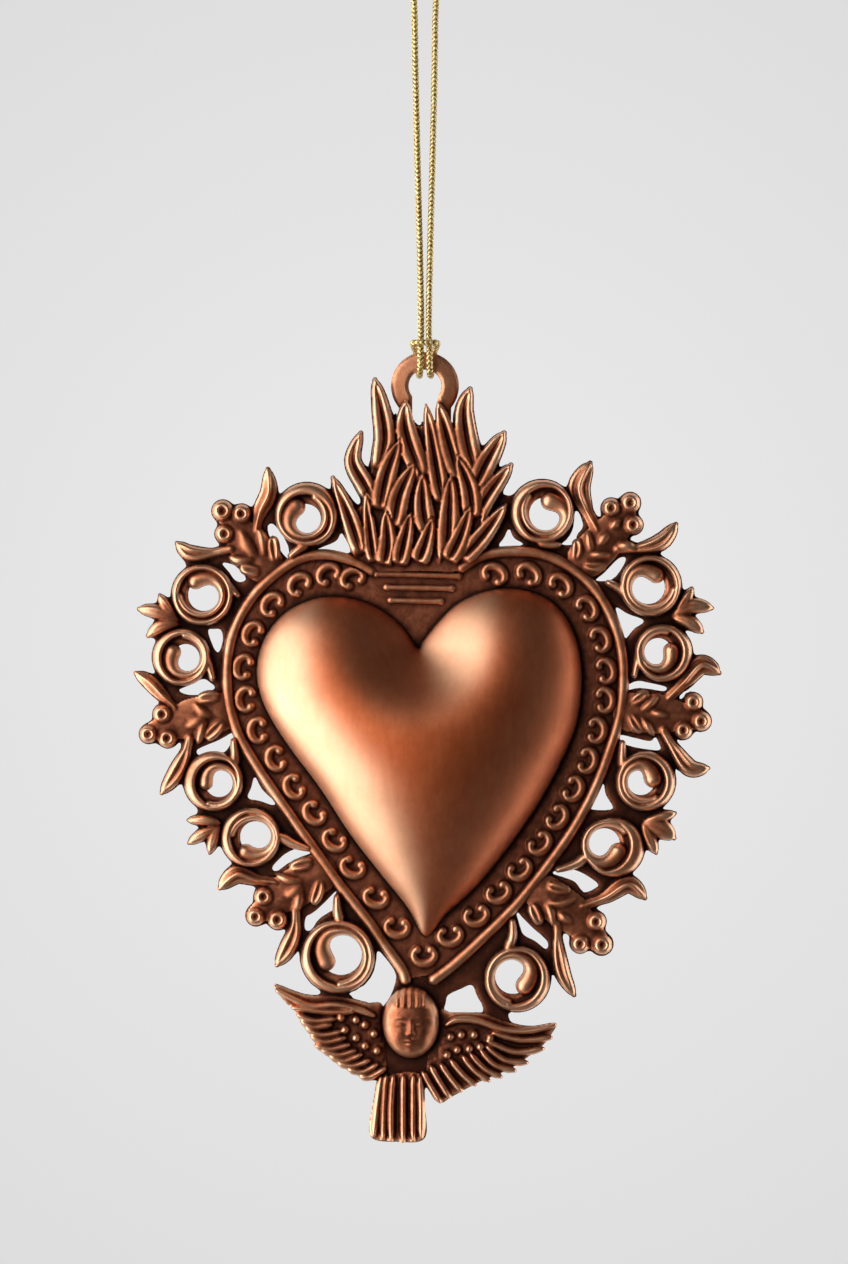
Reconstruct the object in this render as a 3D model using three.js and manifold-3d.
import * as THREE from 'three';
import { mergeVertices } from 'three/addons/utils/BufferGeometryUtils.js';
import Module from 'manifold-3d';

// A pierced copper heart ornament that hangs by its ring from a doubled metallic cord.
// Millimetres, +Z up. The front faces -Y. The origin is where the cord loop hangs, under its top bend.

// Outlines are drawn on a sheet: x to the right, y downwards, one sheet unit this many millimetres.
const SHEET_UNIT = 0.18;
const SHEET_CENTRE_X = 425;
const SHEET_CENTRE_Y = 740;

// Plate and the clearances round what stands on it.
const PLATE_THICKNESS = 1.25;
const PLATE_MARGIN = 0.22;
const CLEARANCE = 0.3;

// Heights above the plate's face.
const SHELL_HEIGHT = 12;
const SHELL_WALL = 0.8;
const SCROLL_HEIGHT = 2.2;
const LEAF_HEIGHT = 1.8;
const BERRY_HEIGHT = 2;
const PALMETTE_HEIGHT = 1.6;
const TONGUE_HEIGHT = 2.2;
const FEATHER_HEIGHT = 1.5;
const DOT_HEIGHT = 1.5;
const HEAD_HEIGHT = 5;
const NOSE_HEIGHT = 5.6;
const BAR_HEIGHT = 1;
const BEAD_HEIGHT = 1.3;
const CURL_HEIGHT = 1.2;
const PAD_HEIGHT = 0.5;
const STRIP_HEIGHT = 0.4;

// Widths across the front.
const BEAD_WIDTH = 2.1;
const BAR_WIDTH = 1.35;
const CURL_RADIUS = 1.65;
const CURL_WIRE_WIDTH = 1.3;
const CURL_BALL_WIDTH = 1.6;
const STEM_WIDTH = 2.2;
const DOT_RADIUS = 0.78;
const FEATHER_WIDTH = 1.3;
const TAIL_RIB_WIDTH = 1.3;
const GROUND_HALF_WIDTH = 3.6;

// Hanging ring.
const RING_RADIUS = 6.1;
const RING_HOLE_RADIUS = 2.95;
const RING_LEG_WIDTH = 2.4;
const RING_LEG_LENGTH = 9.6;
const RING_LEG_SPREAD = 3.5;

// Cord.
const CORD_DIAMETER = 1.2;
const LOOP_DROP = 70;

const SHEET = (x, y) => new THREE.Vector2(
  (x - SHEET_CENTRE_X) * SHEET_UNIT,
  (SHEET_CENTRE_Y - y) * SHEET_UNIT,
);
const onSheet = (points) => points.map(([x, y]) => SHEET(x, y));
const curveThrough = (points) => new THREE.SplineCurve(onSheet(points));

const PLATE_FRONT = -PLATE_THICKNESS / 2;
const PLATE_BACK = PLATE_THICKNESS / 2;

// Rim bead, as two halves from the crest down to the point.
const RIM_LEFT = [
  [372, 571], [352, 561], [325, 555], [300, 559], [276, 574], [253, 597], [238, 622], [229, 652], [228, 690],
  [236, 727], [256, 764], [286, 808], [317, 852], [343, 888], [366, 917], [386, 946], [402, 968], [406, 979],
];
const RIM_RIGHT = [
  [462, 568], [480, 557], [505, 552], [535, 553], [563, 563], [589, 583], [607, 609], [619, 640], [623, 672],
  [620, 713], [608, 753], [593, 791], [573, 828], [548, 864], [517, 903], [482, 938], [455, 963], [434, 979],
];

// Edge of the puffed heart, from the cleft round the left lobe, the point and the right lobe.
const HEART_EDGE = [
  [418, 648], [404, 628], [384, 611], [360, 600], [330, 596], [304, 602], [282, 615], [265, 637], [257, 664],
  [259, 690], [270, 717], [290, 748], [320, 788], [350, 834], [380, 873], [407, 907], [426, 937],
  [448, 913], [475, 888], [507, 849], [537, 806], [561, 762], [577, 722], [582, 680], [578, 644], [564, 614],
  [543, 596], [512, 588], [482, 592], [455, 605], [436, 624], [422, 642],
];
const HEART_CENTRE = [420, 720];
// The cleft runs on as a valley between the two lobes; its widths are in sheet units.
const CLEFT = [420, 645];
const VALLEY_WIDTH = 56;
const VALLEY_LENGTH = 52;
const VALLEY_DEPTH = 0.48;
const BORDER_FIRST = 3;
const BORDER_LAST = 28;

const BARS = [
  [[377, 574], [459, 576]],
  [[387, 587.5], [452, 588.5]],
  [[391, 600.5], [441, 601.5]],
];

const CURLS = [
  [353, 579], [329, 575], [300, 585], [273, 605], [254, 634], [244.5, 667], [247, 699], [259, 730],
  [277, 758], [295, 786], [315, 812], [335, 839], [353, 866], [376, 896], [397, 926], [424, 954],
  [450, 934], [476, 914], [498, 891], [519, 868], [539, 842], [556, 816], [572, 788], [586, 760],
  [595, 730], [603.5, 700], [604.5, 671], [599, 640], [586, 609], [560, 586], [528, 575], [494, 575],
];

// Each scroll: its ring, the eye pierced through it, the bulb in the eye and the stem down to the rim.
const SCROLLS = {
  left_1: {
    ring: [307, 515, 32],
    eye: [306, 519, 15],
    bulb: [296, 507, 8],
    stem: [[312, 540], [300, 549], [291, 556]],
  },
  left_2: {
    ring: [203, 595, 31],
    eye: [204, 595, 16],
    bulb: [196, 581, 7],
    stem: [[216, 573], [227, 585], [238, 595]],
  },
  left_3: {
    ring: [182, 657, 29],
    eye: [186, 658, 14],
    bulb: [173, 652, 7],
    stem: [[197, 641], [207, 660], [213, 678]],
  },
  left_4: {
    ring: [214, 781, 30],
    eye: [219, 783, 14],
    bulb: [206, 783, 6],
    stem: [[233, 772], [235, 756], [234, 741]],
  },
  left_5: {
    ring: [251, 837, 30],
    eye: [256, 837, 16],
    bulb: [246, 852, 7],
    stem: [[274, 832], [291, 842], [308, 848]],
  },
  left_6: {
    ring: [338, 956, 37],
    eye: [341, 954, 21],
    bulb: [326, 961, 8],
    stem: [[342, 928], [338, 912], [337, 897]],
  },
  right_1: {
    ring: [542, 512, 32],
    eye: [546, 514, 17],
    bulb: [550, 501, 8],
    stem: [[535, 538], [546, 544], [558, 545]],
  },
  right_2: {
    ring: [650, 586, 31],
    eye: [648, 587, 17],
    bulb: [656, 575, 7],
    stem: [[632, 600], [620, 589], [608, 583]],
  },
  right_3: {
    ring: [663, 653, 29],
    eye: [658, 652, 14],
    bulb: [671, 651, 7],
    stem: [[646, 637], [639, 655], [634, 675]],
  },
  right_4: {
    ring: [645, 781, 30],
    eye: [641, 781, 14],
    bulb: [653, 778, 8],
    stem: [[624, 774], [622, 758], [622, 743]],
  },
  right_5: {
    ring: [614, 847, 30],
    eye: [604, 844, 16],
    bulb: [618, 852, 8],
    stem: [[592, 850], [578, 862], [558, 869]],
  },
  right_6: {
    ring: [517, 978, 33],
    eye: [513, 976, 18],
    bulb: [525, 985, 8],
    stem: [[504, 954], [512, 938], [512, 921]],
  },
};

// A leaf is its centreline from root to tip, its half-width in sheet units and where it is widest.
const leaf = (path, halfWidth, bulge = 1) => ({ path, halfWidth, bulge });

const SPRAYS = {
  left_1: {
    berries: [[223, 511, 10.5], [242, 514, 9.5], [225, 534, 9.5]],
    horns: [
      leaf([[256, 532], [260, 513], [269, 493], [268, 469]], 8.5, 1.2),
      leaf([[231, 549], [208, 554], [190, 553], [177, 543]], 7.5, 1.4),
    ],
    leaves: [
      leaf([[259, 559], [247, 545], [240, 529]], 6.5),
      leaf([[265, 558], [263, 542], [259, 528]], 5),
      leaf([[229, 557], [241, 561], [256, 558]], 5),
    ],
    seeds: [
      leaf([[240, 568], [250, 570], [261, 572]], 6.5),
      leaf([[273, 536], [274, 548], [276, 562]], 6.5),
    ],
    ground: [[229, 519], [246, 541], [263, 563]],
  },
  left_2: {
    berries: [[163, 714, 9.5], [149, 734, 9], [168, 738, 9.5]],
    horns: [
      leaf([[176, 708], [163, 695], [150, 682], [136, 673]], 7.5, 1.2),
      leaf([[190, 738], [185, 756], [176, 774], [162, 793]], 8.5, 1.3),
    ],
    leaves: [
      leaf([[214, 716], [203, 712], [194, 702]], 5),
      leaf([[208, 717], [198, 721], [186, 727]], 6.5),
      leaf([[207, 716], [202, 730], [198, 744]], 4.5),
    ],
    seeds: [
      leaf([[198, 699], [209, 697], [220, 696]], 7),
      leaf([[206, 739], [215, 730], [224, 721]], 7),
    ],
    ground: [[156, 730], [190, 719], [219, 712]],
  },
  left_3: {
    berries: [[264, 896, 9.5], [256, 916, 9], [278, 919, 10]],
    horns: [
      leaf([[277, 882], [256, 879], [237, 874], [220, 888]], 9, 1.6),
      leaf([[296, 906], [295, 930], [288, 948], [277, 965]], 8.5, 1.3),
    ],
    leaves: [
      leaf([[276, 874], [290, 880], [306, 881]], 4.5),
      leaf([[284, 895], [295, 891], [304, 883]], 6.5),
      leaf([[301, 888], [299, 899], [297, 912]], 5),
    ],
    seeds: [
      leaf([[290, 867], [302, 864], [313, 862]], 7),
      leaf([[313, 904], [318, 892], [321, 880]], 6.5),
    ],
    ground: [[258, 913], [293, 889], [318, 873]],
  },
  right_1: {
    berries: [[611, 508, 9.5], [630, 503, 10], [633, 525, 9.5]],
    horns: [
      leaf([[597, 530], [585, 508], [579, 487], [590, 463]], 10.5, 1.5),
      leaf([[617, 549], [642, 548], [662, 541], [676, 524]], 8, 1.5),
    ],
    leaves: [
      leaf([[592, 554], [589, 543], [587, 531]], 4.5),
      leaf([[589, 555], [600, 555], [611, 555]], 4),
      leaf([[598, 546], [603, 539], [609, 531]], 5),
      leaf([[610, 529], [615, 524], [621, 519]], 4),
      leaf([[617, 545], [626, 546], [636, 549]], 4.5),
    ],
    seeds: [
      leaf([[576, 539], [577, 549], [575, 560]], 6),
      leaf([[583, 565], [595, 567], [606, 566]], 5.5),
    ],
    ground: [[626, 511], [608, 536], [587, 558]],
  },
  right_2: {
    berries: [[693, 702, 9], [701, 721, 9.5], [683, 730, 9]],
    horns: [
      leaf([[668, 698], [684, 682], [701, 665], [719, 673]], 9.5, 1.5),
      leaf([[663, 730], [675, 750], [690, 768], [708, 768]], 8, 1.4),
    ],
    leaves: [
      leaf([[640, 711], [649, 704], [658, 695]], 4),
      leaf([[641, 717], [647, 726], [654, 735]], 4),
      leaf([[650, 711], [659, 714], [669, 715]], 4),
    ],
    seeds: [
      leaf([[631, 703], [640, 697], [648, 692]], 6),
      leaf([[630, 715], [635, 724], [642, 732]], 6),
    ],
    ground: [[697, 719], [660, 714], [632, 712]],
  },
  right_3: {
    berries: [[596, 921, 9.5], [580, 943, 9.5], [602, 944, 10]],
    horns: [
      leaf([[581, 906], [605, 897], [628, 884], [645, 898]], 8.5, 1.5),
      leaf([[557, 922], [558, 950], [563, 974], [574, 995]], 7.5, 1.2),
    ],
    leaves: [
      leaf([[545, 901], [561, 903], [577, 896]], 4),
      leaf([[545, 902], [551, 913], [553, 926]], 4.5),
      leaf([[557, 911], [564, 917], [573, 922]], 4.5),
    ],
    seeds: [
      leaf([[547, 884], [557, 888], [570, 890]], 6),
      leaf([[531, 903], [535, 913], [541, 924]], 6.5),
    ],
    ground: [[600, 943], [570, 913], [545, 895]],
  },
};

const PALMETTES = {
  left_1: [leaf([[177, 618], [167, 607], [160, 595]], 5.5), leaf([[180, 621], [158, 612], [139, 609]], 6.5),
    leaf([[180, 624], [163, 626], [148, 636]], 6.5)],
  left_2: [leaf([[222, 823], [205, 820], [188, 820]], 5), leaf([[222, 826], [203, 834], [189, 843]], 5.5),
    leaf([[220, 824], [214, 838], [210, 853]], 5.5)],
  right_1: [leaf([[676, 612], [684, 602], [692, 588]], 5.5), leaf([[672, 615], [692, 606], [712, 608]], 7),
    leaf([[672, 617], [689, 622], [702, 632]], 6.5)],
  right_2: [leaf([[642, 822], [660, 817], [675, 813]], 5), leaf([[642, 824], [660, 828], [674, 838]], 9),
    leaf([[642, 822], [649, 838], [656, 853]], 6)],
};

// Flame tongues, root to tip, from the outer tips at the back inwards and down to the foot at the front.
const TONGUES = [
  leaf([[362, 556], [355, 533], [346, 508], [333, 478]], 10),
  leaf([[376, 502], [364, 483], [353, 460], [361, 433]], 10),
  leaf([[378, 472], [385, 440], [381, 408], [375, 380]], 11),
  leaf([[375, 563], [371, 540], [366, 493]], 8),
  leaf([[425, 482], [411, 448], [405, 424], [406, 402]], 12),
  leaf([[443, 505], [436, 465], [426, 405]], 10),
  leaf([[460, 480], [449, 444], [438, 403]], 11),
  leaf([[478, 478], [468, 445], [464, 412], [470, 389]], 11.5),
  leaf([[474, 490], [488, 460], [504, 433]], 11.5),
  leaf([[472, 524], [489, 494], [511, 465]], 10.5),
  leaf([[461, 561], [483, 536], [506, 505]], 10.5),
  leaf([[380, 512], [387, 475], [400, 441]], 11.5),
  leaf([[473, 520], [469, 488], [457, 457]], 11),
  leaf([[394, 530], [400, 495], [415, 464]], 11.5),
  leaf([[428, 534], [423, 506], [423, 475]], 11),
  leaf([[448, 565], [449, 522], [451, 476]], 12.5),
  leaf([[448, 562], [459, 540], [471, 507]], 10.5),
  leaf([[384, 566], [388, 545], [386, 511]], 11),
  leaf([[399, 566], [404, 543], [411, 513]], 10),
  leaf([[418, 563], [424, 548], [433, 518]], 10.5),
];
const OUTER_TONGUES = 11;
const CREST_GROUND = [
  [354, 554], [347, 520], [362, 505], [370, 480], [382, 440], [396, 420], [420, 427], [447, 420], [465, 440],
  [478, 470], [482, 500], [488, 528], [485, 548], [460, 560], [420, 562], [372, 563],
];

// Cherub: head oval, wings and tail.
const HEAD_CENTRE = [411, 1021.5];
const HEAD_HALF_WIDTH = 5.2;
const HEAD_HALF_HEIGHT = 6.5;
const WING_LEFT = [
  [384, 1008], [366, 1002], [338, 996], [305, 994], [275, 984], [284, 1000], [296, 1011], [312, 1035],
  [318, 1046], [340, 1062], [352, 1069], [375, 1080], [386, 1068],
];
const WING_RIGHT = [
  [438, 1014], [452, 1012], [482, 1013], [505, 1021], [530, 1026], [555, 1023], [551, 1034], [540, 1047],
  [510, 1068], [480, 1081], [452, 1096], [440, 1101], [426, 1078],
];
const TAIL = [
  [378, 1086], [372, 1108], [371, 1136], [397, 1141], [425, 1137], [424, 1100], [421, 1074], [392, 1074],
];
const COLLAR = [[374, 1045], [384, 1084], [424, 1084], [448, 1040], [440, 1002], [382, 1002]];
const FEATHERS_LEFT = [
  [[374, 1014], [335, 1004], [307, 1004], [278, 990]], [[350, 1012], [322, 1013], [298, 1009]],
  [[333, 1023], [316, 1024], [303, 1020]], [[331, 1032], [320, 1033], [308, 1028]],
  [[340, 1041], [326, 1043], [315, 1039]], [[350, 1050], [335, 1054], [322, 1049]],
  [[360, 1055], [347, 1062], [334, 1060]], [[370, 1062], [356, 1070], [346, 1068]],
  [[382, 1068], [370, 1076], [360, 1076]],
];
const FEATHERS_RIGHT = [
  [[446, 1023], [470, 1019], [505, 1029], [551, 1025]], [[496, 1033], [521, 1039], [547, 1037]],
  [[488, 1041], [513, 1051], [538, 1047]], [[487, 1047], [505, 1059], [523, 1060]],
  [[479, 1052], [493, 1065], [510, 1067]], [[470, 1055], [482, 1069], [496, 1074]],
  [[460, 1058], [471, 1073], [484, 1078]], [[450, 1061], [461, 1077], [472, 1083]],
  [[441, 1065], [450, 1082], [460, 1090]], [[432, 1069], [440, 1085], [449, 1095]],
];
const DOTS_LEFT = [
  [341, 1017], [356, 1019], [365, 1024], [345, 1029], [374, 1033], [356, 1037], [365, 1045], [377, 1050],
];
const DOTS_RIGHT = [
  [450, 1036], [461, 1034], [474, 1034], [490, 1037], [447, 1054], [457, 1049], [469, 1048], [480, 1046],
];
const TAIL_RIBS = [
  [[382, 1080], [377, 1106], [376, 1134]], [[388, 1078], [384, 1106], [384, 1136]],
  [[394, 1077], [392, 1106], [393, 1138]], [[402, 1077], [402, 1106], [402, 1138]],
  [[410, 1077], [411, 1106], [411, 1137]], [[417, 1079], [419, 1106], [419, 1135]],
];

// Ground of the fret between the rim and the motifs, and the holes that pierce it.
const FRET_GROUND = [
  [360, 562], [356, 522], [307, 515], [274, 506], [262, 520], [240, 544], [214, 560], [203, 595],
  [182, 657], [166, 682], [172, 702], [188, 722], [184, 745], [192, 766], [214, 781], [251, 837],
  [254, 862], [264, 880], [286, 894], [294, 915], [300, 942], [338, 956], [372, 992], [411, 1004],
  [450, 1000], [515, 978], [552, 963], [556, 934], [578, 914], [602, 896], [610, 878], [610, 847],
  [645, 781], [671, 757], [664, 732], [668, 712], [675, 698], [678, 682], [663, 653], [650, 586],
  [651, 558], [632, 547], [606, 536], [590, 520], [582, 504], [562, 496], [542, 512], [503, 519],
  [470, 560],
];
const PIERCINGS = [
  [[268, 526], [273, 524], [281, 533], [288, 546], [289, 558], [284, 555], [276, 544], [269, 535]],
  [[300, 558], [318, 549], [336, 541], [341, 533], [346, 540], [350, 552], [336, 554], [318, 554]],
  [[222, 563], [231, 564], [238, 568], [246, 578], [242, 582], [235, 580], [229, 572]],
  [[208, 631], [214, 629], [221, 630], [223, 640], [219, 652], [214, 648]],
  [[179, 690], [190, 685], [203, 679], [211, 683], [215, 688], [206, 693], [195, 695], [185, 694]],
  [
    [197, 750], [207, 745], [219, 740], [232, 733], [234, 736], [230, 745], [224, 752], [210, 753],
    [199, 755],
  ],
  [[255, 777], [262, 789], [275, 802], [272, 805], [260, 801], [248, 798], [251, 788]],
  [
    [290, 851], [300, 848], [312, 849], [311, 853], [298, 858], [287, 864], [277, 871], [272, 868],
    [280, 858],
  ],
  [
    [337, 890], [334, 898], [335, 908], [326, 914], [318, 920], [311, 930], [305, 929], [306, 917],
    [314, 912], [325, 902],
  ],
  [
    [378, 951], [388, 961], [396, 975], [393, 990], [386, 1003], [378, 1008], [363, 1000], [349, 994],
    [362, 987], [372, 975], [376, 962],
  ],
  [[509, 529], [514, 538], [523, 544], [512, 547], [499, 546], [504, 538]],
  [
    [575, 512], [579, 513], [583, 526], [577, 535], [576, 542], [570, 545], [562, 544], [568, 538],
    [573, 528],
  ],
  [[596, 580], [604, 573], [618, 559], [626, 558], [622, 568], [614, 578], [605, 581]],
  [[616, 608], [628, 614], [642, 619], [643, 623], [635, 628], [629, 635], [625, 638], [622, 629]],
  [[627, 690], [628, 685], [638, 681], [650, 683], [666, 687], [664, 691], [650, 689], [638, 688]],
  [
    [620, 735], [635, 738], [650, 741], [655, 737], [659, 743], [660, 750], [645, 749], [630, 746],
    [622, 742],
  ],
  [[603, 783], [606, 795], [613, 808], [602, 810], [590, 808], [596, 796]],
  [
    [552, 873], [561, 869], [572, 869], [586, 875], [598, 884], [594, 889], [584, 892], [575, 882],
    [563, 877],
  ],
  [[516, 911], [523, 918], [532, 927], [547, 941], [546, 949], [535, 941], [524, 935], [520, 926]],
  [[446, 1002], [445, 1011], [460, 1015], [479, 1010], [477, 998], [472, 985], [460, 989], [448, 995]],
];
// Bridges on the outer side of the fret, each a path and its half-width.
const WEBS = [
  [[[337, 500], [352, 512]], 8], [[[193, 560], [201, 572]], 7], [[[160, 632], [172, 626]], 6],
  [[[190, 757], [200, 765]], 7], [[[207, 812], [234, 813]], 8], [[[498, 506], [518, 510]], 12],
  [[[648, 560], [640, 566]], 6], [[[674, 612], [660, 617]], 9], [[[672, 676], [684, 680]], 7],
  [[[672, 752], [664, 762]], 6], [[[634, 818], [648, 820]], 9], [[[492, 1000], [498, 1020]], 11],
  [[[330, 996], [345, 991]], 8],
];

// Hanging ring, on the sheet.
const RING_CENTRE = [425, 386];
const RING_ARC_STEPS = 22;

// Solid handling.
const manifold = await Module();
manifold.setup();

function toSolid(geometry) {
  geometry.deleteAttribute('normal');
  geometry.deleteAttribute('uv');
  const merged = mergeVertices(geometry);
  const vertProperties = new Float32Array(merged.attributes.position.array);
  const triVerts = new Uint32Array(merged.index.array);
  return new manifold.Manifold(new manifold.Mesh({ numProp: 3, vertProperties, triVerts }));
}

function toGeometry(solid) {
  const { vertProperties, triVerts, numProp } = solid.getMesh();
  const positions = new Float32Array((vertProperties.length / numProp) * 3);
  for (let vertex = 0; vertex < positions.length / 3; vertex += 1) {
    positions.set(vertProperties.subarray(vertex * numProp, vertex * numProp + 3), vertex * 3);
  }
  const geometry = new THREE.BufferGeometry();
  geometry.setAttribute('position', new THREE.BufferAttribute(positions, 3));
  geometry.setIndex(new THREE.BufferAttribute(new Uint32Array(triVerts), 1));
  geometry.computeVertexNormals();
  return geometry;
}

// Flat faces of a joined solid count as one, so that later cuts keep no needless corners on them.
const join = (solids) => solids.reduce((whole, solid) => whole.add(solid)).asOriginal();
const cut = (solid, cutters) => cutters.reduce((rest, cutter) => rest.subtract(cutter), solid);

// Signed volume tells whether the triangles face outwards.
function signedVolume(positions, triangles) {
  let volume = 0;
  const corner = (index) => new THREE.Vector3().fromArray(positions, triangles[index] * 3);
  for (let index = 0; index < triangles.length; index += 3) {
    volume += corner(index).dot(corner(index + 1).cross(corner(index + 2)));
  }
  return volume;
}

// Skin over a row of rings with equal counts of points; open rows get a flat cap on each end.
function loft(rings, closedRow = false) {
  const count = rings[0].length;
  const positions = rings.flat().flatMap((point) => [point.x, point.y, point.z]);
  const triangles = [];
  const rows = closedRow ? rings.length : rings.length - 1;
  for (let row = 0; row < rows; row += 1) {
    const next = (row + 1) % rings.length;
    for (let side = 0; side < count; side += 1) {
      const along = (side + 1) % count;
      const [a, b] = [row * count + side, row * count + along];
      const [c, d] = [next * count + side, next * count + along];
      triangles.push(a, b, d, a, d, c);
    }
  }
  if (!closedRow) {
    const last = (rings.length - 1) * count;
    for (let side = 1; side < count - 1; side += 1) {
      triangles.push(0, side + 1, side);
      triangles.push(last, last + side, last + side + 1);
    }
  }
  if (signedVolume(positions, triangles) < 0) {
    triangles.reverse();
  }
  const geometry = new THREE.BufferGeometry();
  geometry.setAttribute('position', new THREE.Float32BufferAttribute(positions, 3));
  geometry.setIndex(triangles);
  return geometry;
}

// A flat outline on the sheet plane, given its place from front to back.
function slab(outline, front, back) {
  const geometry = new THREE.ExtrudeGeometry(new THREE.Shape(outline), {
    depth: back - front,
    bevelEnabled: false,
  });
  geometry.rotateX(Math.PI / 2);
  geometry.translate(0, back, 0);
  return toSolid(geometry);
}

const plateSlab = (outline) => slab(outline, PLATE_FRONT, PLATE_BACK);
const padSlab = (outline, height) => slab(outline, PLATE_FRONT - height, PLATE_FRONT);
const CUTTER_FRONT = PLATE_FRONT - SHELL_HEIGHT;
const CUTTER_BACK = PLATE_BACK + SHELL_WALL;
const cutterSlab = (outline) => slab(outline, CUTTER_FRONT, CUTTER_BACK);

function disc(centreX, centreY, radius, segments) {
  const centre = SHEET(centreX, centreY);
  const outline = [];
  for (let step = 0; step < segments; step += 1) {
    const angle = (2 * Math.PI * step) / segments;
    outline.push(new THREE.Vector2(centre.x + radius * Math.cos(angle), centre.y + radius * Math.sin(angle)));
  }
  return outline;
}

function sideOf(curve, share) {
  const tangent = curve.getTangent(share);
  return new THREE.Vector2(-tangent.y, tangent.x);
}

// The outline of a ribbon along a curve, its half-width given along the way.
function ribbon(curve, steps, halfWidthAt) {
  const left = [];
  const right = [];
  for (let step = 0; step <= steps; step += 1) {
    const share = step / steps;
    const centre = curve.getPoint(share);
    const offset = sideOf(curve, share).multiplyScalar(halfWidthAt(share));
    left.push(centre.clone().add(offset));
    right.push(centre.clone().sub(offset));
  }
  return left.concat(right.reverse());
}

// Cross-sections, as pairs of share of the half-width and share of the height.
const RIDGE_SECTION = [[-1, 0], [0, 1], [1, 0]];
const HORN_SECTION = [[-1, 0], [-0.5, 0.8], [0.5, 0.8], [1, 0]];
const TONGUE_SECTION = [[-1, 0], [-0.5, 0.9], [0.5, 0.9], [1, 0]];
const ROUND_SECTION = [[-1, 0], [-0.6, 0.9], [0.6, 0.9], [1, 0]];
const LEAF_STEPS = 4;
const LEAF_END_SHARE = 0.14;
const LEAF_FULLNESS = 0.7;

const leafShare = (share, bulge) => (
  Math.max(LEAF_END_SHARE, Math.sin(Math.PI * share ** bulge) ** LEAF_FULLNESS)
);

// A flame tongue widens a little above its root and closes in on its tip.
const TONGUE_ROOT_SHARE = 0.72;
const TONGUE_SWELL = 1.2;
const TONGUE_TIP_POWER = 3;
const tongueShare = (share) => {
  const swelling = Math.min(1, TONGUE_ROOT_SHARE + TONGUE_SWELL * share);
  return Math.max(LEAF_END_SHARE, swelling * (1 - share ** TONGUE_TIP_POWER) ** LEAF_FULLNESS);
};

// A raised stroke that stands on the plate along a curve.
function stroke(curve, steps, section, halfWidthAt, heightAt) {
  const rings = [];
  for (let step = 0; step <= steps; step += 1) {
    const share = step / steps;
    const centre = curve.getPoint(share);
    const side = sideOf(curve, share);
    const halfWidth = halfWidthAt(share);
    const height = heightAt(share);
    rings.push(section.map(([across, up]) => new THREE.Vector3(
      centre.x + side.x * across * halfWidth,
      PLATE_FRONT - up * height,
      centre.y + side.y * across * halfWidth,
    )));
  }
  return toSolid(loft(rings));
}

function leafSolid({ path, halfWidth, bulge }, height) {
  const widthAt = (share) => halfWidth * SHEET_UNIT * leafShare(share, bulge);
  const heightAt = (share) => height * Math.sqrt(leafShare(share, bulge));
  return stroke(curveThrough(path), LEAF_STEPS, RIDGE_SECTION, widthAt, heightAt);
}

// A horn is a leaf whose root stays broad.
const HORN_ROOT_SHARE = 0.55;
const hornShare = (share, bulge) => (
  share ** bulge < 0.5 ? Math.max(HORN_ROOT_SHARE, leafShare(share, bulge)) : leafShare(share, bulge)
);

function hornSolid({ path, halfWidth, bulge }) {
  const widthAt = (share) => halfWidth * SHEET_UNIT * hornShare(share, bulge);
  const heightAt = (share) => LEAF_HEIGHT * Math.sqrt(hornShare(share, bulge));
  return stroke(curveThrough(path), LEAF_STEPS, HORN_SECTION, widthAt, heightAt);
}

const hornOutline = ({ path, halfWidth, bulge }, margin) => (
  ribbon(curveThrough(path), LEAF_STEPS, (share) => halfWidth * SHEET_UNIT * hornShare(share, bulge) + margin)
);

const leafOutline = ({ path, halfWidth, bulge }, margin) => (
  ribbon(curveThrough(path), LEAF_STEPS, (share) => halfWidth * SHEET_UNIT * leafShare(share, bulge) + margin)
);

function tongueSolid({ path, halfWidth }) {
  const widthAt = (share) => halfWidth * SHEET_UNIT * tongueShare(share);
  const heightAt = (share) => TONGUE_HEIGHT * Math.sqrt(tongueShare(share));
  return stroke(curveThrough(path), LEAF_STEPS, TONGUE_SECTION, widthAt, heightAt);
}

const tongueOutline = ({ path, halfWidth }, margin) => (
  ribbon(curveThrough(path), LEAF_STEPS, (share) => halfWidth * SHEET_UNIT * tongueShare(share) + margin)
);

// A round mound with a profile from its foot to its middle: shares of the radius and of the height.
function mound(centre, radiusX, radiusZ, height, profile, segments) {
  const rings = profile.map(([out, up]) => {
    const ring = [];
    for (let step = 0; step < segments; step += 1) {
      const angle = (2 * Math.PI * step) / segments;
      ring.push(new THREE.Vector3(
        centre.x + out * radiusX * Math.cos(angle),
        PLATE_FRONT - up * height,
        centre.y + out * radiusZ * Math.sin(angle),
      ));
    }
    return ring;
  });
  return toSolid(loft(rings));
}

const DOME_PROFILE = [[1, 0], [0.78, 0.7], [0.3, 1]];
const BERRY_PROFILE = [[1, 0], [0.72, 1], [0.22, 0.55]];
const FACE_PROFILE = [[1, 0], [0.97, 0.4], [0.86, 0.72], [0.6, 0.93], [0.3, 1], [0.08, 1]];

const dome = ([x, y], radius, height, segments) => (
  mound(SHEET(x, y), radius, radius, height, DOME_PROFILE, segments)
);

// Materials.
const COPPER = { roughness: 0.36, metalness: 0.9 };
const copper = (color) => new THREE.MeshStandardMaterial({ color, ...COPPER });
const cordGold = () => new THREE.MeshStandardMaterial({ color: 0xd8c28a, roughness: 0.55, metalness: 0.35 });

const ornament = new THREE.Group();
const hanging = new THREE.Group();

function addPiece(group, name, geometry, material) {
  const mesh = new THREE.Mesh(geometry, material);
  mesh.name = name;
  group.add(mesh);
}

const addSolid = (name, solid, material) => addPiece(ornament, name, toGeometry(solid), material);

// Rim bead.
const RIM_STEPS = 24;
const beadHalfWidth = BEAD_WIDTH / 2;
const rims = { left: curveThrough(RIM_LEFT), right: curveThrough(RIM_RIGHT) };

function rimBead(curve) {
  return stroke(curve, RIM_STEPS, ROUND_SECTION, () => beadHalfWidth, () => BEAD_HEIGHT);
}

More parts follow.
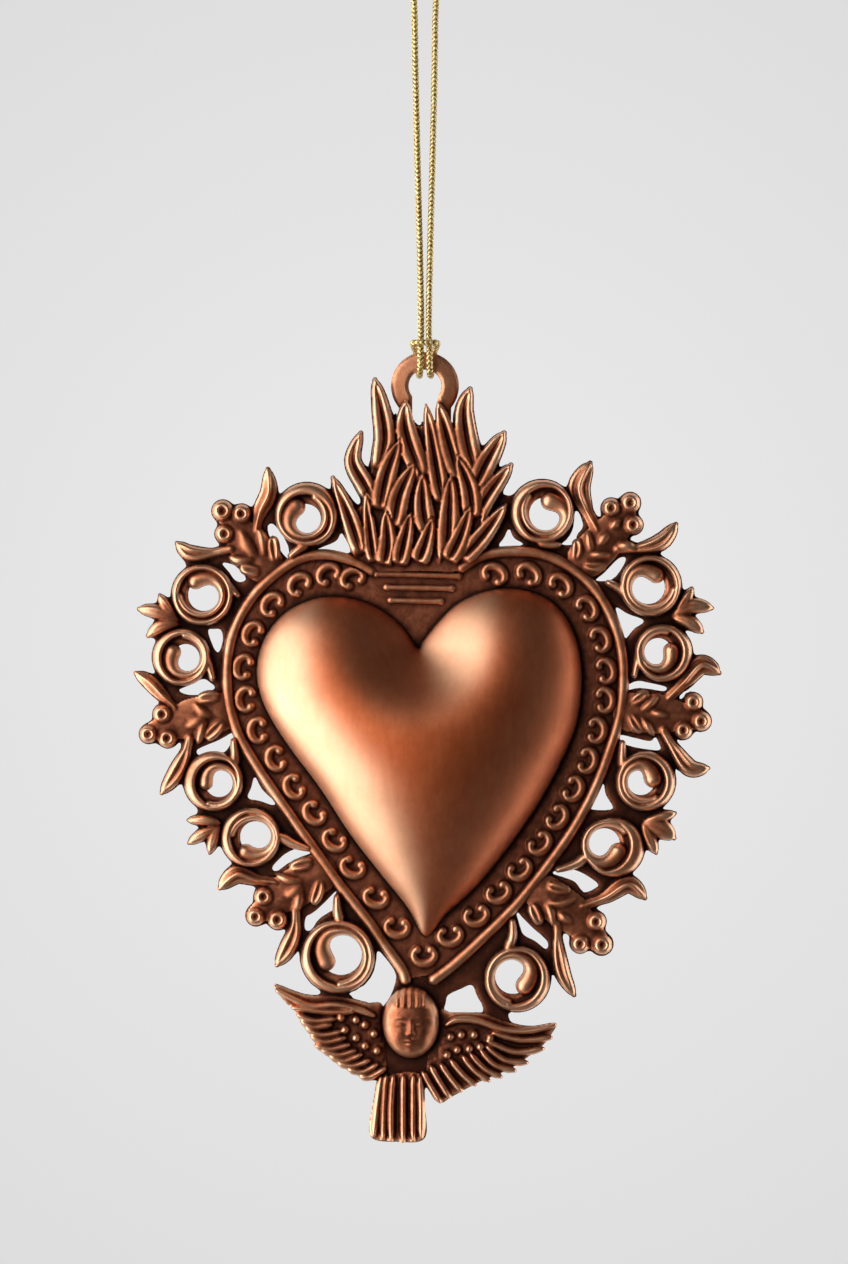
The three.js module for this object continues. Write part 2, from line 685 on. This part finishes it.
// A rim half moved sideways, outwards from the heart when the shift is positive.
function rimOffset(side, shift) {
  const turn = side === 'left' ? -1 : 1;
  const points = [];
  for (let step = 0; step <= RIM_STEPS; step += 1) {
    const share = step / RIM_STEPS;
    points.push(rims[side].getPoint(share).add(sideOf(rims[side], share).multiplyScalar(turn * shift)));
  }
  return points;
}

const rimCutters = Object.values(rims).map((curve) => (
  cutterSlab(ribbon(curve, RIM_STEPS, () => beadHalfWidth + CLEARANCE))
));

// Scrolls.
const SCROLL_STEPS = 15;
const SCROLL_SECTION = [[0, 0], [0.2, 0.85], [0.8, 1], [1, 0]];
const BULB_SEGMENTS = 8;
const STEM_STEPS = 3;
const STEM_TIP_SHARE = 0.3;

const stemHalfWidth = (share) => (STEM_WIDTH / 2) * (1 - (1 - STEM_TIP_SHARE) * share);

function scrollSolid({ ring, eye, bulb, stem }) {
  const outer = disc(ring[0], ring[1], ring[2] * SHEET_UNIT, SCROLL_STEPS);
  const inner = disc(eye[0], eye[1], eye[2] * SHEET_UNIT, SCROLL_STEPS);
  const rings = outer.map((edge, index) => SCROLL_SECTION.map(([out, up]) => {
    const point = inner[index].clone().lerp(edge, out);
    return new THREE.Vector3(point.x, PLATE_FRONT - up * SCROLL_HEIGHT, point.y);
  }));
  const stemHeight = (share) => SCROLL_HEIGHT * (1 - (1 - STEM_TIP_SHARE) * share);
  const whole = join([
    toSolid(loft(rings, true)),
    dome(bulb, bulb[2] * SHEET_UNIT, SCROLL_HEIGHT, BULB_SEGMENTS),
    stroke(curveThrough(stem), STEM_STEPS, RIDGE_SECTION, stemHalfWidth, stemHeight),
  ]);
  return cut(whole, rimCutters);
}

const scrollCutters = Object.values(SCROLLS).map(({ ring }) => (
  cutterSlab(disc(ring[0], ring[1], ring[2] * SHEET_UNIT + CLEARANCE, SCROLL_STEPS))
));
const stemCutters = Object.values(SCROLLS).map(({ stem }) => (
  cutterSlab(ribbon(curveThrough(stem), STEM_STEPS, (share) => stemHalfWidth(share) + CLEARANCE))
));
const roundScrolls = [...scrollCutters, ...stemCutters, ...rimCutters];

// Grape sprays.
const BERRY_SEGMENTS = 9;
const PAD_STEPS = 2;

// The ground of a spray narrows towards its berries, and the holes of the fret are cut out of it.
const GROUND_TIP_SHARE = 0.5;
const groundOutline = (path, margin) => (
  ribbon(curveThrough(path), PAD_STEPS, (share) => (
    GROUND_HALF_WIDTH * Math.min(1, GROUND_TIP_SHARE + share) + margin
  ))
);
const fretHoles = PIERCINGS.map((outline) => cutterSlab(onSheet(outline)));

function berrySolid([x, y, units]) {
  const radius = units * SHEET_UNIT;
  return mound(SHEET(x, y), radius, radius, BERRY_HEIGHT, BERRY_PROFILE, BERRY_SEGMENTS);
}

function spraySolid({ berries, horns, leaves, seeds, ground }) {
  const whole = join([
    cut(padSlab(groundOutline(ground, 0), PAD_HEIGHT), fretHoles),
    ...berries.map(berrySolid),
    ...horns.map(hornSolid),
    ...[...leaves, ...seeds].map((one) => leafSolid(one, LEAF_HEIGHT)),
  ]);
  return cut(whole, roundScrolls);
}

// Palmettes and the flame crest.
function palmetteSolid(lobes) {
  return cut(join(lobes.map((one) => leafSolid(one, PALMETTE_HEIGHT))), roundScrolls);
}

function crestSolid() {
  return cut(join([padSlab(onSheet(CREST_GROUND), PAD_HEIGHT), ...TONGUES.map(tongueSolid)]), roundScrolls);
}

// Hanging ring: a horseshoe whose legs run down behind the crest.
const ringCentre = SHEET(...RING_CENTRE);
const legOuter = RING_LEG_SPREAD + RING_LEG_WIDTH / 2;
const legInner = RING_LEG_SPREAD - RING_LEG_WIDTH / 2;

// Points of an arc about the ring's centre, from one leg over the top to the other.
function archOver(radius, halfSpread, fromLeft) {
  const start = Math.asin(halfSpread / radius);
  const sweep = 2 * Math.PI - 2 * start;
  const points = [];
  for (let step = 0; step <= RING_ARC_STEPS; step += 1) {
    const share = fromLeft ? step / RING_ARC_STEPS : 1 - step / RING_ARC_STEPS;
    const angle = start + sweep * share;
    points.push(new THREE.Vector2(
      ringCentre.x - radius * Math.sin(angle),
      ringCentre.y - radius * Math.cos(angle),
    ));
  }
  return points;
}

function ringOutline() {
  const foot = ringCentre.y - RING_LEG_LENGTH;
  return [
    new THREE.Vector2(ringCentre.x - legOuter, foot),
    ...archOver(RING_RADIUS, legOuter, true),
    new THREE.Vector2(ringCentre.x + legOuter, foot),
    new THREE.Vector2(ringCentre.x + legInner, foot),
    ...archOver(RING_HOLE_RADIUS, legInner, false),
    new THREE.Vector2(ringCentre.x - legInner, foot),
  ];
}

function legCutter(side) {
  const left = ringCentre.x + side * RING_LEG_SPREAD - RING_LEG_WIDTH / 2 - CLEARANCE;
  const right = left + RING_LEG_WIDTH + 2 * CLEARANCE;
  const foot = ringCentre.y - RING_LEG_LENGTH - CLEARANCE;
  const corners = [[left, foot], [right, foot], [right, ringCentre.y], [left, ringCentre.y]];
  return cutterSlab(corners.map(([x, z]) => new THREE.Vector2(x, z)));
}

// Puffed heart: a shell that is open at its back.
const HEART_STEPS = 40;
const HEART_LEVELS = [1, 0.96, 0.88, 0.75, 0.58, 0.38, 0.2, 0.06];
const HEART_FOOT_WIDTH = 1.2;
const HEART_FOOT_POWER = 2.4;
const HEART_CROWN_POWER = 0.62;
const heartCentre = SHEET(...HEART_CENTRE);
const heartEdge = new THREE.SplineCurve(onSheet([...HEART_EDGE, HEART_EDGE[0]]));
const cleft = SHEET(...CLEFT);

// The share of the height that the valley leaves at a point.
function valleyShare(point) {
  const across = (point.x - cleft.x) / (VALLEY_WIDTH * SHEET_UNIT);
  const along = Math.max(0, cleft.y - point.y) / (VALLEY_LENGTH * SHEET_UNIT);
  return 1 - VALLEY_DEPTH * Math.exp(-(across ** 2) - along ** 2);
}

// Height of the outer face over a point, its share of the way out given, before it is scaled to the crown.
const heartRise = (point, out) => (1 - out ** HEART_FOOT_POWER) ** HEART_CROWN_POWER * valleyShare(point);
const heartRays = Array.from({ length: HEART_STEPS }, (_, step) => (
  heartEdge.getPoint(step / HEART_STEPS).sub(heartCentre)
));
const onRay = (ray, length) => ray.clone().setLength(length).add(heartCentre);
const heartCrown = Math.max(...HEART_LEVELS.flatMap((out) => (
  heartRays.map((ray) => heartRise(onRay(ray, ray.length() * out), out))
)));

// A ring of the heart, with its points' heights lowered by the wall; the foot lies on the plate.
function heartRing(inset, level, wall, isFoot = false) {
  return heartRays.map((ray) => {
    const length = (ray.length() - inset) * level;
    const point = onRay(ray, length);
    const out = Math.max(0, length / ray.length());
    const height = isFoot ? 0 : SHELL_HEIGHT * heartRise(point, out) / heartCrown - wall;
    return new THREE.Vector3(point.x, PLATE_FRONT - height, point.y);
  });
}

function heartShell() {
  const inside = HEART_LEVELS.map((level) => heartRing(HEART_FOOT_WIDTH, level, SHELL_WALL));
  const outside = HEART_LEVELS.slice(1).map((level) => heartRing(0, level, 0));
  const feet = [heartRing(HEART_FOOT_WIDTH, 1, 0, true), heartRing(0, 1, 0, true)];
  return toSolid(loft([...inside.reverse(), ...feet, ...outside]));
}

// Curl border: a thin strip between heart and rim with a row of small open curls.
const CURL_STEPS = 7;
const CURL_OPENING = Math.PI * 0.5;

function curl([x, y]) {
  const centre = SHEET(x, y);
  const opening = Math.atan2(heartCentre.y - centre.y, heartCentre.x - centre.x);
  const points = [];
  for (let step = 0; step <= CURL_STEPS; step += 1) {
    const angle = opening + CURL_OPENING / 2 + (2 * Math.PI - CURL_OPENING) * (step / CURL_STEPS);
    points.push(new THREE.Vector2(
      centre.x + CURL_RADIUS * Math.cos(angle),
      centre.y + CURL_RADIUS * Math.sin(angle),
    ));
  }
  const halfWidthAt = (share) => (share === 0 || share === 1 ? CURL_BALL_WIDTH : CURL_WIRE_WIDTH) / 2;
  return stroke(new THREE.SplineCurve(points), CURL_STEPS, RIDGE_SECTION, halfWidthAt, () => CURL_HEIGHT);
}

function curlBorder() {
  const inward = -(beadHalfWidth + CLEARANCE);
  const outerEdge = [...rimOffset('left', inward), ...rimOffset('right', inward).reverse()];
  const innerEdge = [];
  const first = BORDER_FIRST / HEART_EDGE.length;
  const last = BORDER_LAST / HEART_EDGE.length;
  for (let step = 0; step <= HEART_STEPS; step += 1) {
    const share = last + (first - last) * (step / HEART_STEPS);
    const outward = sideOf(heartEdge, share).multiplyScalar(-CLEARANCE);
    innerEdge.push(heartEdge.getPoint(share).add(outward));
  }
  const heartCutter = cutterSlab(heartRays.map((ray) => onRay(ray, ray.length() + CLEARANCE)));
  const strip = padSlab([...outerEdge, ...innerEdge], STRIP_HEIGHT);
  return cut(join([strip, ...CURLS.map(curl)]), [heartCutter, ...rimCutters]);
}

// Cherub.
const HEAD_SEGMENTS = 18;
const NOSE_SHARES = [0.32, -0.07, -0.32];
const NOSE_WIDTH_SHARE = 0.12;
const NOSE_BULGE = 1.4;
const FEATHER_STEPS = 3;
const FEATHER_TIP_SHARE = 0.5;
const FEATHER_ROOT_SHARE = 0.6;
const FEATHER_SWELL = 2;
const DOT_SEGMENTS = 6;
const headCentre = SHEET(...HEAD_CENTRE);

const headOutline = (margin) => disc(...HEAD_CENTRE, 1, HEAD_SEGMENTS).map((point) => new THREE.Vector2(
  headCentre.x + (point.x - headCentre.x) * (HEAD_HALF_WIDTH + margin),
  headCentre.y + (point.y - headCentre.y) * (HEAD_HALF_HEIGHT + margin),
));
const headCutter = cutterSlab(headOutline(CLEARANCE));

function headSolid() {
  const face = mound(headCentre, HEAD_HALF_WIDTH, HEAD_HALF_HEIGHT, HEAD_HEIGHT, FACE_PROFILE, HEAD_SEGMENTS);
  const [middle, level] = HEAD_CENTRE;
  const ridge = NOSE_SHARES.map((up) => [middle, level - (up * HEAD_HALF_HEIGHT) / SHEET_UNIT]);
  const nose = leaf(ridge, (NOSE_WIDTH_SHARE * HEAD_HALF_WIDTH) / SHEET_UNIT, NOSE_BULGE);
  return join([face, leafSolid(nose, NOSE_HEIGHT)]);
}

function featherSolid(path, width) {
  const tipShare = (share) => FEATHER_TIP_SHARE + FEATHER_SWELL * (1 - share);
  const rootShare = (share) => FEATHER_ROOT_SHARE + FEATHER_SWELL * share;
  const widthAt = (share) => (width / 2) * Math.min(1, tipShare(share), rootShare(share));
  return stroke(curveThrough(path), FEATHER_STEPS, RIDGE_SECTION, widthAt, () => FEATHER_HEIGHT);
}

const dotSolid = (point) => dome(point, DOT_RADIUS, DOT_HEIGHT, DOT_SEGMENTS);

function wingSolid(outline, feathers, dots) {
  const whole = join([
    padSlab(onSheet(outline), PAD_HEIGHT),
    ...feathers.map((path) => featherSolid(path, FEATHER_WIDTH)),
    ...dots.map(dotSolid),
  ]);
  return cut(whole, [...roundScrolls, headCutter]);
}

const wings = {
  left: wingSolid(WING_LEFT, FEATHERS_LEFT, DOTS_LEFT),
  right: wingSolid(WING_RIGHT, FEATHERS_RIGHT, DOTS_RIGHT),
};
const wingCutters = [WING_LEFT, WING_RIGHT].map((outline) => cutterSlab(onSheet(outline)));

function tailSolid() {
  const ribs = TAIL_RIBS.map((path) => featherSolid(path, TAIL_RIB_WIDTH));
  return cut(join([padSlab(onSheet(TAIL), PAD_HEIGHT), ...ribs]), [headCutter, ...wingCutters]);
}

// Plate: everything's footprint with a small margin, and the webs, cut through at the eyes.
function backPlate() {
  const rimOut = beadHalfWidth + PLATE_MARGIN;
  const field = [...rimOffset('left', rimOut), ...rimOffset('right', rimOut).reverse()];
  const scrolls = Object.values(SCROLLS);
  const sprays = Object.values(SPRAYS);
  const smallLeaves = [
    ...sprays.flatMap(({ leaves, seeds }) => [...leaves, ...seeds]),
    ...Object.values(PALMETTES).flat(),
  ];
  const footprints = [
    field,
    onSheet(FRET_GROUND),
    onSheet(CREST_GROUND),
    headOutline(PLATE_MARGIN),
    onSheet(COLLAR),
    ...[WING_LEFT, WING_RIGHT, TAIL].map(onSheet),
    ...sprays.flatMap(({ horns }) => horns).map((one) => hornOutline(one, PLATE_MARGIN)),
    ...smallLeaves.map((one) => leafOutline(one, PLATE_MARGIN)),
    ...TONGUES.slice(0, OUTER_TONGUES).map((one) => tongueOutline(one, PLATE_MARGIN)),
    ...sprays.map(({ ground }) => groundOutline(ground, PLATE_MARGIN)),
    ...sprays.flatMap(({ berries }) => berries.map(([x, y, radius]) => (
      disc(x, y, radius * SHEET_UNIT + PLATE_MARGIN, BERRY_SEGMENTS)
    ))),
    ...scrolls.map(({ ring }) => disc(ring[0], ring[1], ring[2] * SHEET_UNIT + PLATE_MARGIN, SCROLL_STEPS)),
    ...scrolls.map(({ stem }) => (
      ribbon(curveThrough(stem), STEM_STEPS, (share) => stemHalfWidth(share) + PLATE_MARGIN)
    )),
    ...WEBS.map(([path, halfWidth]) => ribbon(curveThrough(path), PAD_STEPS, () => halfWidth * SHEET_UNIT)),
  ];
  const eyes = scrolls.map(({ eye: [x, y, radius] }) => (
    cutterSlab(disc(x, y, radius * SHEET_UNIT, SCROLL_STEPS))
  ));
  const bulbs = scrolls.map(({ bulb: [x, y, radius] }) => (
    plateSlab(disc(x, y, radius * SHEET_UNIT, BULB_SEGMENTS))
  ));
  const pierced = cut(join(footprints.map(plateSlab)), [...eyes, ...fretHoles]);
  const hole = cutterSlab(disc(...RING_CENTRE, RING_RADIUS + CLEARANCE, RING_ARC_STEPS));
  return cut(join([pierced, ...bulbs]), [hole, legCutter(-1), legCutter(1)]);
}

// Cord: one strand up, a bend over the support and the other strand down to the knot.
const cordRadius = CORD_DIAMETER / 2;
const ringBandMiddle = (RING_RADIUS + RING_HOLE_RADIUS) / 2;
const ringBandHeight = -LOOP_DROP;
const CORD_SIDES = 8;
const CORD_STEPS = 50;
const KNOT_STEPS = 54;

// Points of the left half, from the support bend down, in millimetres; the right half mirrors them.
const CORD_ROUTE = [
  [0, 0, 0.6], [-1.7, 0, -0.1], [-2.4, 0, -1.8], [-2.2, 0, -3.4], [-1.95, 0, -6], [-1.72, -0.15, -18],
  [-1.35, -0.4, -34], [-0.98, -0.66, -48], [-0.78, -0.86, -57], [-0.7, -0.95, -61.7],
];
// Points of the left half of the knot, from its top end down in front of the ring's band, through the hole,
// up behind, over the band and into the bar across the front; measured from the middle of the band.
const KNOT_ROUTE = [
  [-0.7, -0.95, 8], [-0.7, -1.4, 5.4], [-0.76, -1.95, 3], [-0.8, -2.42, 1.4], [-0.8, -2.65, 0],
  [-0.86, -1.87, -1.87], [-1, 0, -2.65], [-1.15, 1.87, -1.87], [-1.32, 2.65, 0], [-1.74, 1.87, 1.87],
  [-2.12, 0.1, 2.8], [-2.2, -1.5, 3.02], [-1.92, -2.78, 3.05], [-1, -3.3, 3.05], [0, -3.34, 3.05],
];

const mirrored = (points) => points.slice(0, -1).reverse().map(([x, y, z]) => [-x, y, z]);

function tubeAlong(points, steps) {
  const route = points.map(([x, y, z]) => new THREE.Vector3(x, y, z));
  const extrudePath = new THREE.CatmullRomCurve3(route, false, 'centripetal');
  const section = new THREE.Shape();
  for (let side = 0; side < CORD_SIDES; side += 1) {
    const angle = (2 * Math.PI * side) / CORD_SIDES;
    const [x, y] = [cordRadius * Math.cos(angle), cordRadius * Math.sin(angle)];
    if (side === 0) {
      section.moveTo(x, y);
    } else {
      section.lineTo(x, y);
    }
  }
  section.closePath();
  return toGeometry(toSolid(new THREE.ExtrudeGeometry(section, { steps, extrudePath, bevelEnabled: false })));
}

function hangingCord() {
  const left = [...CORD_ROUTE].reverse();
  return tubeAlong([...left, ...mirrored(left)], CORD_STEPS);
}

function larksHeadKnot() {
  const knot = tubeAlong([...KNOT_ROUTE, ...mirrored(KNOT_ROUTE)], KNOT_STEPS);
  knot.translate(0, 0, ringBandHeight);
  return knot;
}

// The ornament hangs so that the middle of the ring's band is at the drop of the cord loop.
ornament.position.set(-ringCentre.x, 0, ringBandHeight - ringCentre.y - ringBandMiddle);

addSolid('pierced_back_plate', backPlate(), copper(0x6b3a26));
addSolid('curl_border', curlBorder(), copper(0x8f5136));
addSolid('rim_bead_left', rimBead(rims.left), copper(0xc08562));
addSolid('rim_bead_right', rimBead(rims.right), copper(0xb87a58));
addSolid('heart_shell', heartShell(), copper(0xb9714c));
addSolid('flame_crest', crestSolid(), copper(0xb4764f));
BARS.forEach((path, index) => {
  const name = `crown_bar_${['top', 'middle', 'bottom'][index]}`;
  const bar = stroke(curveThrough(path), 1, ROUND_SECTION, () => BAR_WIDTH / 2, () => BAR_HEIGHT);
  addSolid(name, bar, copper(0xa0623f));
});
addSolid('hanging_ring', plateSlab(ringOutline()), copper(0x9b5b40));
Object.entries(SCROLLS).forEach(([place, scroll]) => {
  addSolid(`scroll_${place}`, scrollSolid(scroll), copper(0xa66a49));
});
Object.entries(SPRAYS).forEach(([place, spray]) => {
  addSolid(`grape_spray_${place}`, spraySolid(spray), copper(0x9c6042));
});
Object.entries(PALMETTES).forEach(([place, lobes]) => {
  addSolid(`palmette_${place}`, palmetteSolid(lobes), copper(0xa66a49));
});
addSolid('cherub_head', headSolid(), copper(0xc48a63));
addSolid('wing_left', wings.left, copper(0x9a5f42));
addSolid('wing_right', wings.right, copper(0x9a5f42));
addSolid('tail_feathers', tailSolid(), copper(0xa66a49));
addPiece(hanging, 'larks_head_knot', larksHeadKnot(), cordGold());
addPiece(hanging, 'hanging_cord', hangingCord(), cordGold());

const part = new THREE.Group();
part.add(ornament, hanging);

export default part;
